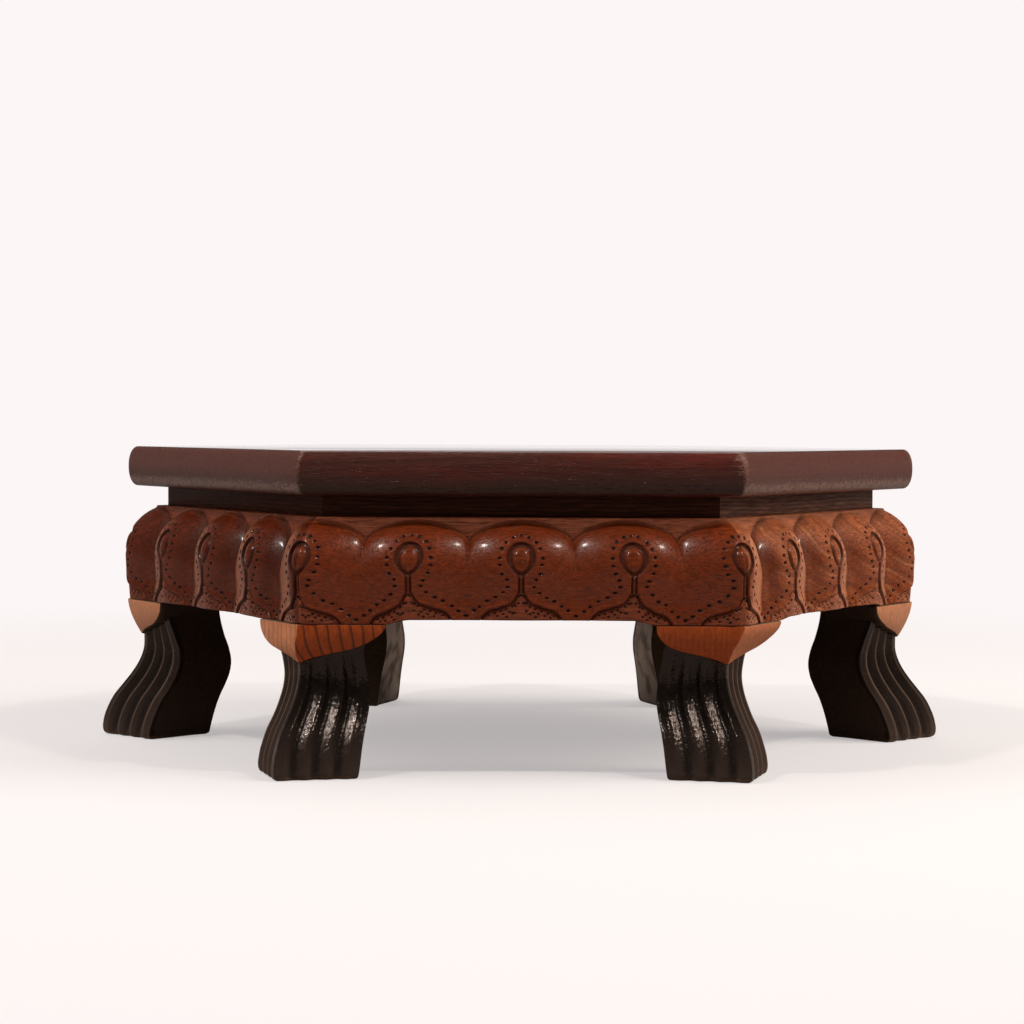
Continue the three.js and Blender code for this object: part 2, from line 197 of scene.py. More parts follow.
turn_at = {
    "rear_right": -60, "rear": 0, "rear_left": 60,
    "front_left": 120, "front": 180, "front_right": 240,
}
mitre = math.pi / 6
sin_mitre, cos_mitre, tan_mitre = math.sin(mitre), math.cos(mitre), math.tan(mitre)
side_length = 250
top_face = side_length * cos_mitre
apron_edge = top_face - 16
apron_inner = apron_edge - 12.5
apron_height = 59.5
apron_top = 146
half_petal = side_length / 8
mitre_gap = 0.05
corner_radius = 13
upper_edge_radius = 0.8
lower_edge_radius = 0.6
petal_reach = 19.3
petal_depth = 7.6
petal_roundness = 3.2
valley_softness = 0.2
valley_fade_height = 12
skirt_tuck = 1.5
front_shallower = 0.45
arch_steepness = 0.96
arch_start = 1
arch_drop = 12.5
fillet = 1.4
shoulder_height = 27
ground_slope = 0.12
board_columns = 640
board_rows = 140
ground_rows = 14


def ramp(value, low, high):
    """Rises smoothly from 0 at the low value to 1 at the high one."""
    share = np.clip((value - low) / (high - low), 0, 1)
    return share * share * (3 - 2 * share)


def stroke(gap, width):
    """A soft line: 1 where there is no gap, fading out over the width."""
    return np.exp(-((gap / width) ** 2))


def round_over(radius, reach):
    """How far a rounded edge falls back, at a reach beyond the start of its arc."""
    return radius - np.sqrt(np.clip(radius**2 - np.clip(reach, 0, radius) ** 2, 0, None))


def read_out(data, key, size=3):
    """What a mesh's list holds under a key, as one row of numbers."""
    values = np.empty(len(data) * size, np.float32)
    data.foreach_get(key, values)
    return values


def corners_of(piece):
    """The vertices of a piece, one row each, in millimetres."""
    return read_out(piece.data.vertices, "co").reshape(-1, 3) / mm


def place_corners(piece, points):
    """Moves the vertices to points in millimetres."""
    piece.data.vertices.foreach_set("co", (points * mm).astype(np.float32).ravel())


def keep_values(piece, name, values, kind="FLOAT"):
    """Stores one number or one vector for each vertex, for the material to read."""
    made = piece.data.attributes.get(name) or piece.data.attributes.new(name, kind, "POINT")
    made.data.foreach_set("value" if kind == "FLOAT" else "vector", np.ravel(values).astype(np.float32))


def keep_grain(piece, places):
    """Stores where each vertex lay in its tree: along the grain first, then across it."""
    keep_values(piece, "grain", places * mm, "FLOAT_VECTOR")


def skin(name, columns, rows, place):
    """A fine grid laid over a shape. From u and v, each 0 to 1, place gives x, y and z in millimetres and
    the values to store."""
    bpy.ops.mesh.primitive_grid_add(x_subdivisions=columns, y_subdivisions=rows, size=1)
    piece = bpy.context.object
    piece.name = name
    flat = read_out(piece.data.vertices, "co")
    *spot, kept = place(flat[0::3] + 0.5, flat[1::3] + 0.5)
    place_corners(piece, np.stack(spot, axis=1))
    for key, values in kept.items():
        keep_values(piece, key, values)
    return piece


def pick(piece):
    bpy.ops.object.select_all(action="DESELECT")
    piece.select_set(True)
    bpy.context.view_layer.objects.active = piece


def edit(piece, kind="VERT"):
    pick(piece)
    bpy.ops.object.mode_set(mode="EDIT")
    bpy.ops.mesh.select_mode(type=kind)


def smooth(piece, degrees):
    bpy.ops.object.mode_set(mode="OBJECT")
    pick(piece)
    bpy.ops.object.shade_smooth_by_angle(angle=math.radians(degrees))


def own_copy(piece, name):
    """A copy with its own mesh."""
    copy = piece.copy()
    copy.data = piece.data.copy()
    copy.name = name
    bpy.context.collection.objects.link(copy)
    return copy


def from_crest(along):
    """Place across a petal: 0 on its crest, 1 and -1 in the valleys beside it."""
    halves = along / half_petal
    return halves - 2 * np.round(halves / 2)


def petal_start(along):
    """How far below the board's upper edge the petals start, in arches."""
    fall = 1 - np.sqrt(1 - (arch_steepness * np.abs(from_crest(along))) ** 2)
    return arch_start + arch_drop * fall / (1 - math.sqrt(1 - arch_steepness**2))


def plain_face(along, drop):
    """How far out the board lies before the ornament is cut, how far a petal falls back from its crest,
    and where the ground above the petals is."""
    below_arch = np.clip(drop - petal_start(along), 0, None)
    rise = np.clip((np.hypot(below_arch, fillet) - fillet) / shoulder_height, 0, 1)
    shoulder = (1 - (1 - rise) ** 2) ** 0.7
    fade = np.clip((drop - apron_height + valley_fade_height) / valley_fade_height, 0, 1)
    softness = valley_softness * (1 + ramp(drop, 20, 45))
    across = 1 + softness - np.hypot(1 - np.abs(from_crest(along)), softness)
    relief = petal_depth * (1 - 0.4 * fade) * across**petal_roundness
    skirt = np.clip((drop - shoulder_height) / (apron_height - shoulder_height), 0, 1)
    petal = petal_reach - relief - skirt_tuck * skirt**2
    ease = round_over(corner_radius, corner_radius * tan_mitre - (side_length / 2 - np.abs(along)))
    tool_mark = 0.5 * stroke(drop - petal_start(along), 1.3) * np.clip(drop / 3, 0, 1)
    ground = ground_slope * drop - tool_mark
    face = apron_edge + ground + (petal - ease - ground) * shoulder
    return face, relief, 1 - np.clip(shoulder / 0.2, 0, 1)


def droplet(x, y, top, widest, point, half, bluntness):
    """Share of the way from the middle of a droplet to its rim, and the distance outside the rim."""
    up = (widest - y) / (widest - top)
    down = np.clip((y - widest) / (point - widest), 0, None)
    round_share = (x / half) ** 2 + up**2
    round_slope = 2 * np.hypot(x / half**2, up / (widest - top)) + 1e-6
    point_share = x / half + down**bluntness
    point_slope = np.hypot(1 / half, bluntness * down ** (bluntness - 1) / (point - widest))
    upper = y < widest
    share = np.where(upper, np.sqrt(round_share), point_share)
    gap = np.where(upper, (round_share - 1) / round_slope, (point_share - 1) / point_slope)
    return share, gap


droplet_rim = {"top": 15.6, "widest": 21.8, "point": 30.8, "half": 5.2, "bluntness": 3.0}
ring_rim = {"top": 12.9, "widest": 21.8, "point": 33.4, "half": 8.5, "bluntness": 2.0}
ring_depth = 1.9
droplet_crown = 0.05
droplet_fall = 1.85
stem_top = (31.2, 33)
stem_foot = (42.6, 44.4)
stem_line = 1.35
field_depth = 1.0
lobe_line_x = [0, 2, 3, 4, 5.5, 7, 10, 13, 16, 19, 21, 22.5, 23.5, 24.4]
lobe_line_y = [42.9, 42.9, 45.2, 47.5, 49.5, 50.4, 51.3, 52.4, 53.3, 54.3, 55.9, 57.6, 59.3, 62]


def lobe_line(x):
    """How far down the lobes end, from the middle of the petal outwards."""
    return np.interp(x, lobe_line_x, lobe_line_y)


def ornament(x, y):
    """Depth cut below the plain petal, the dark of the cut lines (dark stain in the cuts, partly painted
    shade in the grooves), and where the sunk field is.
    """
    x = np.abs(x)
    inner_share, inner_gap = droplet(x, y, **droplet_rim)
    _, outer_gap = droplet(x, y, **ring_rim)
    groove = ring_depth * ramp(-outer_gap, -0.1, 1.1)
    dome = droplet_crown + droplet_fall * np.clip(inner_share, 0, 1) ** 4
    depth = np.where(inner_gap < 0, np.minimum(dome, groove), groove)

    stem = ramp(y, *stem_top) * (1 - ramp(y, *stem_foot))
    cut = 1.35 * stroke(x - stem_line, 0.55) + 0.75 * (1 - ramp(x, 0.6, 1.9))
    depth = np.maximum(depth, stem * cut)

    slope = lobe_line(x + 0.5) - lobe_line(x - 0.5)
    below = (y - lobe_line(x)) / np.sqrt(1 + slope**2)
    lip = 0.4 * stroke(below + 1, 0.8) * ramp(x, 2, 5)
    gutter = 0.9 * stroke(below - 0.65, 0.65) * ramp(x, 0.8, 2.4)
    field = field_depth * ramp(below, -0.2, 0.8) + gutter - lip
    depth = depth * (1 - ramp(below, -0.2, 0.5)) + field

    # The dark of the lines: dark stain in the cuts, and painted shade in the grooves.
    lines = np.maximum(0.8 * stroke(outer_gap + 0.6, 0.65), 0.9 * stroke(inner_gap - 0.3, 0.7))
    lines = np.maximum(lines, 0.8 * ramp(-outer_gap, 0.2, 0.9) * ramp(inner_gap, -0.4, 0.1))
    stem_lines = np.maximum(0.7 * stroke(x - stem_line, 0.5), 0.45 * (1 - ramp(x, 1.2, 1.8)))
    lines = np.maximum(lines, stem * stem_lines) * (1 - ramp(below, -0.2, 0.3))
    lines = np.maximum(lines, 0.75 * stroke(below - 0.55, 0.6) * ramp(x, 1.2, 2.4))
    return depth, lines, ramp(below, 0.6, 1.6)


dot_rows = [
    (4.3, 10.5), (8.3, 13.2), (10.9, 17), (12, 21.8), (11.8, 26), (10.3, 30.6), (8, 34.4), (7.1, 38),
    (10, 42.6), (13.9, 46.1), (18.8, 48.4), (23.2, 51.5), (27, 54.4), (30.8, 57),
]
single_dots = [(0, 9.8, 1.2, 0.8, 0.9), (0, 44.4, 1.3, 0.85, 0.9)]
row_dot_width, row_dot_height, row_dot_depth = 1.2, 0.85, 1.1
field_dot_width, field_dot_height, field_dot_depth = 0.9, 0.75, 0.85
field_dot_start, field_dot_step, field_row_shift = 1.7, 3.3, 1.6
field_row_start, field_row_step, field_row_limit = 2.5, 2.2, 58.2


def punched(x, y, seeds):
    """Depth of the dots, which a punch has left uneven. A spot has a place, half its width, half its
    height and a depth."""
    depth = np.zeros_like(x)
    for petal in range(-2, 3):
        spots = list(single_dots)
        for side in (-1, 1):
            for dot_x, dot_y in dot_rows:
                size = seeds.uniform(0.9, 1.2)
                dot_x = side * dot_x + seeds.uniform(-0.4, 0.4)
                dot_y = dot_y + seeds.uniform(-0.4, 0.4)
                spots.append((dot_x, dot_y, row_dot_width * size, row_dot_height * size, row_dot_depth))
            for row in range(4):
                for step in range(7):
                    dot_x = field_dot_start + field_dot_step * step + field_row_shift * (row % 2)
                    dot_x = dot_x + seeds.uniform(-0.4, 0.4)
                    dot_y = lobe_line(dot_x) + field_row_start + field_row_step * row
                    dot_y = dot_y + seeds.uniform(-0.25, 0.25)
                    size = seeds.uniform(0.8, 1.05)
                    wide, high = field_dot_width * size, field_dot_height * size
                    if dot_y < field_row_limit:
                        spots.append((side * dot_x, dot_y, wide, high, field_dot_depth))
        crest = petal * 2 * half_petal
        near = np.abs(x - crest) < half_petal + 2
        local_x, local_y = x[near] - crest, y[near]
        dent = np.zeros_like(local_x)
        for dot_x, dot_y, wide, high, deep in spots:
            inside = 1 - ((local_x - dot_x) / wide) ** 2 - ((local_y - dot_y) / high) ** 2
            dent = np.maximum(dent, deep * np.sqrt(np.clip(inside, 0, 1)))
        depth[near] = np.maximum(depth[near], dent)
    return depth


def board_place(u, v):
    """The carved face of the rear board: along it with u, and down from its upper edge with v."""
    along = (u - 0.5) * side_length
    start = petal_start(along)
    ground_share = ground_rows / board_rows
    drop = np.where(
        v < ground_share,
        start * v / ground_share,
        start + (apron_height - start) * (v - ground_share) / (1 - ground_share),
    )
    dots = punched(along, drop, random.Random(4))
    cut, lines, field = ornament(from_crest(along) * half_petal, drop)
    plain, relief, ground = plain_face(along, drop)
    lower_edge = round_over(lower_edge_radius, drop - apron_height + lower_edge_radius)
    upper_edge = round_over(upper_edge_radius, upper_edge_radius - drop)
    face = plain - (cut + dots) - (lower_edge + upper_edge)
    # Painted shade: the crease along each arch darkens the lines here, and the valley between petals is
    # kept as painted shade for the side boards.
    crease = stroke(drop - start - 0.8, 1.3) * np.clip(start / 6, 0, 1)
    valley = stroke(1 - np.abs(from_crest(along)), 0.1) * ramp(drop, start + 1, start + 8)
    kept = {
        "lines": np.clip(np.maximum(lines, 0.4 * crease), 0, 1),
        "dots": np.clip(dots / 0.7, 0, 1),
        "ground": ground,
        "field": field,
        "relief": relief * (1 - ground),
        "valley": valley,
    }
    return along * (1 - 2 * mitre_gap / side_length) * face / top_face, face, apron_top - drop, kept


board = skin("apron_model", board_columns, board_rows, board_place)
edit(board, "EDGE")
bpy.ops.mesh.select_all(action="DESELECT")
bpy.ops.mesh.select_non_manifold()
bpy.ops.mesh.extrude_edges_move()
bpy.ops.object.mode_set(mode="OBJECT")
for vertex in board.data.vertices:
    if vertex.select:
        vertex.co.x *= apron_inner * mm / vertex.co.y
        vertex.co.y = apron_inner * mm
edit(board, "EDGE")
bpy.ops.mesh.edge_face_add()
bpy.ops.mesh.select_all(action="SELECT")
bpy.ops.mesh.normals_make_consistent(inside=False)
smooth(board, 50)


def noise(tree, place, scale, detail, roughness=0.5):
    """Noise with a scale of its own along each axis."""
    spot = add_node(tree, "ShaderNodeMapping", {"Vector": place, "Scale": scale}).outputs[0]
    inputs = {"Vector": spot, "Scale": 1.0, "Detail": detail, "Roughness": roughness}
    return add_node(tree, "ShaderNodeTexNoise", inputs).outputs[0]


def wood_group():
    """Growth rings, fibres and pores of a board whose grain runs along the first axis it is given."""
    tree = bpy.data.node_groups.new("wood_figure", "ShaderNodeTree")
    tree.interface.new_socket("Grain", in_out="INPUT", socket_type="NodeSocketVector")
    for name in ("Ring Width", "Wander", "Late"):
        tree.interface.new_socket(name, in_out="INPUT", socket_type="NodeSocketFloat")
    for name in ("Rings", "Line", "Fibre", "Pores", "Marks"):
        tree.interface.new_socket(name, in_out="OUTPUT", socket_type="NodeSocketFloat")
    given = add_node(tree, "NodeGroupInput").outputs
    grain = given["Grain"]
    parts = add_node(tree, "ShaderNodeSeparateXYZ", {0: grain}).outputs
    flat = add_node(tree, "ShaderNodeCombineXYZ", {1: parts[1], 2: parts[2]}).outputs[0]
    radius = add_node(tree, "ShaderNodeVectorMath", {0: flat}, operation="LENGTH").outputs["Value"]
    bend = calc(tree, "SUBTRACT", noise(tree, grain, (5, 16, 16), 2), 0.5)
    shift = times(tree, bend, given["Wander"])
    ripple = calc(tree, "SUBTRACT", noise(tree, grain, (14, 160, 160), 2), 0.5)
    ripple = times(tree, ripple, 1.2 * mm)
    place = calc(tree, "ADD", calc(tree, "ADD", radius, shift), ripple)
    year = calc(tree, "FRACT", calc(tree, "DIVIDE", place, given["Ring Width"]))
    late_wood = between(tree, year, given["Late"], 0.9, steps="SMOOTHSTEP")
    from_middle = calc(tree, "ABSOLUTE", calc(tree, "SUBTRACT", year, 0.5))
    figures = {
        "Rings": times(tree, late_wood, between(tree, year, 0.92, 1.0, 1.0, 0.0)),
        "Line": between(tree, from_middle, 0.13, 0.0, steps="SMOOTHSTEP"),
        "Fibre": noise(tree, grain, (60, 1000, 1000), 3, 0.65),
        "Pores": between(tree, noise(tree, grain, (150, 1700, 1700), 1), 0.6, 0.7),
        "Marks": noise(tree, grain, (260, 420, 420), 4, 0.65),
    }
    add_node(tree, "NodeGroupOutput", figures)
    return tree


wood_figure = wood_group()


def stored(tree, name, output="Fac"):
    """What the piece holds for its vertices under a name."""
    made = add_node(tree, "ShaderNodeAttribute", attribute_name=name, attribute_type="GEOMETRY")
    return made.outputs[output]


def figure(tree, ring_width, wander, late=0.25):
    """The wood figure in a material, its widths in millimetres."""
    grain = stored(tree, "grain", "Vector")
    inputs = {"Grain": grain, "Ring Width": ring_width * mm, "Wander": wander * mm, "Late": late}
    return add_node(tree, "ShaderNodeGroup", inputs, node_tree=wood_figure).outputs


def stain(tree, body, share, amount, color):
    """A colour laid over the body where the share is high, by no more than the amount."""
    return blend(tree, times(tree, share, amount), body, color)


def shaded(tree, body, value, gain, level):
    return blend(tree, 1.0, body, scaled(tree, value, gain, level), "MULTIPLY")


def above_floor(tree):
    return add_node(tree, "ShaderNodeSeparateXYZ", {0: object_place(tree)}).outputs["Z"]


def finish_shader(
    tree, color, roughness, height, depth, gloss, tint=(1, 1, 1, 1), coat=0.0, coat_roughness=0.05
):
    """The shader of a wood finish, with relief from a height, its depth in millimetres."""
    relief = add_node(tree, "ShaderNodeBump", {"Height": height, "Strength": 1.0, "Distance": depth * mm})
    inputs = {"Base Color": color, "Roughness": roughness, "Normal": relief.outputs[0]}
    inputs |= {"Specular IOR Level": gloss, "Specular Tint": tint}
    inputs |= {"Coat Weight": coat, "Coat Roughness": coat_roughness}
    shader = add_node(tree, "ShaderNodeBsdfPrincipled", inputs)
    add_node(tree, "ShaderNodeOutputMaterial", {"Surface": shader.outputs[0]})


def carved_finish(
    name, light, dark, streak, ground, flank_sheen, field,
    ring_width=3.4, ring_share=0.3, fine_share=0.2, streak_share=0.2, upper=0.0, coarse=1.0,
):
    """Stained and lacquered wood: dark in the dots, and in the lines, partly painted shade; paler on the
    ground and the sunk field, partly painted light; painted sheen on sideways flanks, painted shade on
    flanks that face the front, and painted light towards the top.
    """
    material, tree = new_material(name)
    fine_lines = figure(tree, 1.7, 10)["Line"]
    wood = figure(tree, ring_width, 18)
    lines, dots = stored(tree, "lines"), stored(tree, "dots")
    body = stain(tree, light, wood["Rings"], ring_share, dark)
    patches = between(tree, noise(tree, stored(tree, "grain", "Vector"), (14, 70, 70), 2), 0.42, 0.7)
    body = stain(tree, body, times(tree, wood["Line"], streak_share), patches, streak)
    # Painted light: paler towards the top of the board, by the upper share, and painted sheen on the
    # flanks.
    high = times(tree, between(tree, above_floor(tree), 102 * mm, 132 * mm), upper)
    body = blend(tree, calc(tree, "MAXIMUM", high, stored(tree, "flank_sheen")), body, flank_sheen)
    # Painted shade on the flanks that face the front.
    body = blend(tree, stored(tree, "shade"), body, dark)
    # The sunk field and the ground are paler: partly paler wood, partly painted light in these recesses.
    body = stain(tree, body, stored(tree, "field"), field, ground)
    body = stain(tree, body, fine_lines, fine_share, dark)
    body = stain(tree, body, stored(tree, "ground"), 0.8, ground)
    body = blend(tree, 1.0, body, between(tree, wood["Fibre"], 0.3, 0.7, 0.62, 1.4), "MULTIPLY")
    body = shaded(tree, body, wood["Marks"], 0.5 * coarse, 1 - 0.25 * coarse)
    body = stain(tree, body, wood["Pores"], 0.6 * coarse, (40, 14, 6))
    # The lines are dark stain in the cuts, with painted shade in the grooves, valleys and creases.
    body = stain(tree, body, lines, 0.7, (34, 11, 4))
    body = stain(tree, body, dots, 0.92, (16, 6, 3))
    rough_cuts = times(tree, calc(tree, "MAXIMUM", dots, lines), 0.4)
    rough = calc(tree, "ADD", scaled(tree, wood["Fibre"], 0.2, 0.24), rough_cuts)
    height = scaled(tree, wood["Marks"], 0.5, times(tree, wood["Fibre"], 0.6))
    height = calc(tree, "SUBTRACT", height, wood["Pores"])
    tint = (1, 0.88, 0.8, 1)
    finish_shader(tree, body, rough, height, 0.1 + 0.1 * coarse, 0.3, tint, coat=0.2, coat_roughness=0.14)
    return material


red_carved = carved_finish(
    "carved_wood_red", (112, 43, 12), (88, 31, 8), streak=(150, 76, 40),
    ground=(196, 112, 78), flank_sheen=(150, 92, 66), field=0.12,
)
dark_carved = carved_finish(
    "carved_wood_dark", (92, 32, 7), (70, 24, 5), streak=(140, 66, 32),
    ground=(128, 66, 42), flank_sheen=(164, 106, 80), field=0.3,
)
pale_carved = carved_finish(
    "carved_wood_pale", (138, 66, 30), (90, 34, 11), streak=(200, 134, 90),
    ground=(166, 98, 66), flank_sheen=(204, 134, 98), field=0.4,
    ring_width=7.0, ring_share=0.5, fine_share=0.45, streak_share=0.6, upper=0.2, coarse=0.35,
)
carved_wood = {"front_left": dark_carved, "front_right": pale_carved}

back_wood, tree = new_material("carved_wood_back")
wood = figure(tree, 4.5, 16)
body = blend(tree, wood["Rings"], (150, 102, 66), (112, 70, 42))
body = shaded(tree, body, wood["Fibre"], 0.9, 0.55)
rough = scaled(tree, wood["Fibre"], 0.2, 0.6)
finish_shader(tree, body, rough, calc(tree, "ADD", wood["Fibre"], wood["Rings"]), 0.15, 0.3)

usual_hollow = 1.2
hollow_at = {"front": 2.6, "front_right": 1.8, "front_left": 0.6}
creased_side = {"front_left": -1, "front_right": 1}
for index, (name, degrees) in enumerate(turn_at.items()):
    seeds = random.Random(20 + index)
    copy = own_copy(board, "carved_apron_" + name)
    points = corners_of(copy)
    pith = [seeds.uniform(-300, 300), seeds.uniform(-15, 15) - 146, seeds.uniform(-20, 20) - 60]
    keep_grain(copy, points + np.array(pith))
    between_legs = 1 - ramp(np.abs(points[:, 0]), 62, 77)
    hollow = hollow_at.get(name, usual_hollow) * between_legs
    points[:, 2] += hollow * ramp(apron_top - points[:, 2], 36, 49)
    kept = copy.data.attributes
    relief, valley, lines = (read_out(kept[k].data, "value", 1) for k in ("relief", "valley", "lines"))
    if name in ("front", "rear"):
        points[:, 1] += np.where(points[:, 1] > apron_inner + 3, front_shallower * relief, 0)
    else:
        # Painted shade on the side boards: the lines darken in the valleys between petals and in the
        # crease on one side of each arch.
        along = points[:, 0] * top_face / np.maximum(points[:, 1], 1)
        aside = from_crest(along) * creased_side.get(name, 0)
        below_start = apron_top - points[:, 2] - petal_start(along)
        crease = 0.95 * stroke(below_start + 0.3, 2.3) * ramp(aside, 0.05, 0.5)
        keep_values(copy, "lines", np.maximum(lines, np.maximum(0.6 * valley, crease)))
    place_corners(copy, points)
    copy.data.transform(turned(degrees))
    # Painted sheen on the flanks that turn to the side, and painted shade on the flanks that face the
    # front.
    if name in creased_side:
        normals = read_out(copy.data.vertex_normals, "vector")
        upright = 1 - ramp(np.abs(normals[2::3]), 0.5, 0.8)
        keep_values(copy, "flank_sheen", 0.9 * ramp(normals[1::3], -0.49, -0.2) * upright)
        keep_values(copy, "shade", 0.9 * ramp(-normals[1::3], 0.64, 0.9) * upright)
    dress(copy, carved_wood.get(name, red_carved), back_wood)
    for polygon in copy.data.polygons:
        polygon.material_index = 1 if len(polygon.vertices) > 4 else 0
    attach(copy, "root")
    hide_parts("apron_board_" + name)
bpy.data.objects.remove(board)


# Keys across the mitres of the apron
# Loose strips of raw hardwood, glued into both boards. They are cut plain and stay out of sight.

corner_at = {
    "right": 0, "rear_right": 60, "rear_left": 120,
    "left": 180, "front_left": 240, "front_right": 300,
}
raw_wood, tree = new_material("raw_wood")
wood = figure(tree, 2.6, 8)
body = blend(tree, wood["Rings"], (196, 154, 106), (160, 112, 70))
body = shaded(tree, body, wood["Fibre"], 0.8, 0.6)
rough = scaled(tree, wood["Fibre"], 0.2, 0.6)
finish_shader(tree, body, rough, wood["Fibre"], 0.1, 0.3)


def refinish(node, material):
    """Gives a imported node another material."""
    node.data.materials.clear()
    dress(node, material)


for name in corner_at:
    refinish(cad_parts["mitre_key_" + name], raw_wood)


# Legs: six, each cut from one square block that stands corner outwards
# The foot sweeps out, is reeded on its two outer faces and ebonised. The knee under the apron is left
# bare, and so are the post inside the apron, which is screwed to both boards, and the sawn sole.

leg_height = 86.5
heights = [0, 0.03, 0.12, 0.2, 0.29, 0.37, 0.45, 0.54, 0.63, 0.74, 0.88, 1]
toe_shares = [0.96, 1, 0.99, 0.9, 0.74, 0.53, 0.32, 0.13, 0.02, 0, 0, 0]
heel_shares = [1, 0.97, 0.84, 0.7, 0.5, 0.27, 0.08, 0, 0.09, 0.32, 0.52, 0.57]
width_shares = [0.96, 0.985, 1, 0.985, 0.96, 0.925, 0.9, 0.865, 0.83, 0.815, 0.84, 0.86]
toe_radius = 266
ankle_radius = 240
heel_radius = 198
calf_radius = 184
foot_half_width = 35.5
sole_radius = 2.2
reed_depth = 3.0
reeds_per_face = 3
corner_reed = 0.23
corner_crest = 0.45
shaft_top = 0.97
leg_columns = 216
leg_rows = 104
face_columns = 0.37


def eased(share, stations, values):
    """A smooth curve through the values at the stations."""
    slopes = np.gradient(values, stations)
    place = np.clip(np.searchsorted(stations, share, side="right") - 1, 0, len(stations) - 2)
    stations, values = np.array(stations), np.array(values)
    span = stations[place + 1] - stations[place]
    t = (share - stations[place]) / span
    start = values[place] * (1 + 2 * t) * (1 - t) ** 2 + slopes[place] * span * t * (1 - t) ** 2
    return start + values[place + 1] * t * t * (3 - 2 * t) + slopes[place + 1] * span * t * t * (t - 1)


def leg_levels(share):
    """Radius of the toe and of the heel, and half the width, at a share of the leg's height."""
    toe = ankle_radius + (toe_radius - ankle_radius) * eased(share, heights, toe_shares)
    heel = calf_radius + (heel_radius - calf_radius) * eased(share, heights, heel_shares)
    return toe, heel, foot_half_width * eased(share, heights, width_shares)


def reed_fall(along):
    """How far a reeded face lies below its flat, as a share of a groove, from its corner outwards."""
    reed = (along - corner_reed) / (1 - corner_reed) * reeds_per_face
    middle = 2 * (reed - np.floor(np.clip(reed, 0, reeds_per_face - 0.001))) - 1
    fall = (0.5 - 0.5 * np.cos(math.pi * middle)) ** 0.85
    last = (reed > reeds_per_face - 0.5) & (reed <= reeds_per_face)
    fall = np.where(last, fall * 0.5, fall)
    first = along / corner_reed
    past = 0.5 - 0.5 * np.cos(math.pi * np.clip((first - corner_crest) / (1 - corner_crest), 0, 1))
    before = 0.3 * ((corner_crest - first) / corner_crest) ** 2
    return np.where(first < 1, np.where(first < corner_crest, before, past**0.85), fall)


def groove_depth(share):
    """The grooves run out a little towards the sole and towards the knee."""
    return reed_depth * (0.6 + 0.4 * ramp(share, 0.0, 0.16)) * (1 - 0.45 * ramp(share, 0.6, 0.9))


def shaft_place(u, v):
    """Round the leg with u, from the toe over one reeded face, across the heel and back; up it with v."""
    share = v * shaft_top
    toe, heel, half = leg_levels(share)
    fold = np.minimum(u, 1 - u)
    side = np.where(u <= 0.5, 1, -1)
    along = np.clip(fold / face_columns, 0, 1)
    inner = np.clip((fold - face_columns) / (0.5 - face_columns), 0, 1)
    length = np.hypot(toe - heel - half, half)
    inward_x, inward_y = -half / length, -(toe - heel - half) / length
    depth = groove_depth(share) * reed_fall(along)
    x = toe + (heel + half - toe) * along + inward_x * depth
    y = half * along + inward_y * depth * np.clip(along / corner_reed / corner_crest, 0, 1)
    x = np.where(inner > 0, x + (heel - x) * inner, x)
    y = np.where(inner > 0, y * (1 - inner), y)
    up = share * leg_height
    sole = round_over(sole_radius, sole_radius - up)
    centre = heel + half * 0.5
    reach = np.hypot(x - centre, y)
    x = x - (x - centre) / reach * sole
    y = y - y / reach * sole
    return x, side * y, up, {}


knee_drop = 22.5
knee_drops = [0, 0.22, 0.39, 0.53, 0.63, 0.74, 0.87, 1]
knee_wings = [1, 0.96, 0.87, 0.76, 0.64, 0.42, 0.17, 0.02]
knee_wing = 50
knee_taper = 9
knee_rows = 30
top_heel = 192
post_corner = 216.74
post_inner = post_corner - 32
post_step = 10


def kite(u, outer, wing, inner, up):
    """Four corners round: the outer one, the end of a wing, the inner one and the other wing."""
    corner = np.round(u * 4).astype(int) % 4
    wing_x, wing_y = outer - wing * sin_mitre, wing * cos_mitre
    x = np.select([corner == 0, corner == 2], [outer, inner], wing_x)
    y = np.select([corner == 1, corner == 3], [wing_y, -wing_y], 0.0)
    return x, y, up, {}


def knee_place(u, v):
    """The knee, from its lower point up, with a wing along each board."""
    left = 1 - v
    wing = knee_wing * eased(left, knee_drops, knee_wings)
    return kite(u, side_length - knee_taper * left**1.7, wing, top_heel, leg_height - knee_drop * left)


def post_place(u, v):
    """The post: a wide lower part inside the knee, and a narrower one inside the apron."""
    level = np.round(v * 3).astype(int)
    up = np.array([leg_height - knee_drop / 2, leg_height, leg_height + post_step, apron_top])[level]
    inner = np.array([top_heel, top_heel, post_inner, post_inner])[level]
    wing = (post_corner - inner) / (sin_mitre + cos_mitre)
    return kite(u, post_corner + 0 * u, wing, inner, up)


def close_tube(piece):
    """Joins the seam of a skin that runs all round, and closes its two ends."""
    edit(piece)
    bpy.ops.mesh.select_all(action="SELECT")
    bpy.ops.mesh.remove_doubles(threshold=0.02 * mm)
    bpy.ops.mesh.select_all(action="DESELECT")
    bpy.ops.mesh.select_non_manifold()
    bpy.ops.mesh.edge_face_add()
    bpy.ops.mesh.select_all(action="SELECT")
    bpy.ops.mesh.normals_make_consistent(inside=False)
    bpy.ops.object.mode_set(mode="OBJECT")


def round_edges(piece, width, segments, degrees=30):
    bevel = piece.modifiers.new("edges", "BEVEL")
    bevel.width = width * mm
    bevel.segments = segments
    bevel.limit_method = "ANGLE"
    bevel.angle_limit = math.radians(degrees)
    bpy.context.view_layer.objects.active = piece
    bpy.ops.object.modifier_apply(modifier="edges")


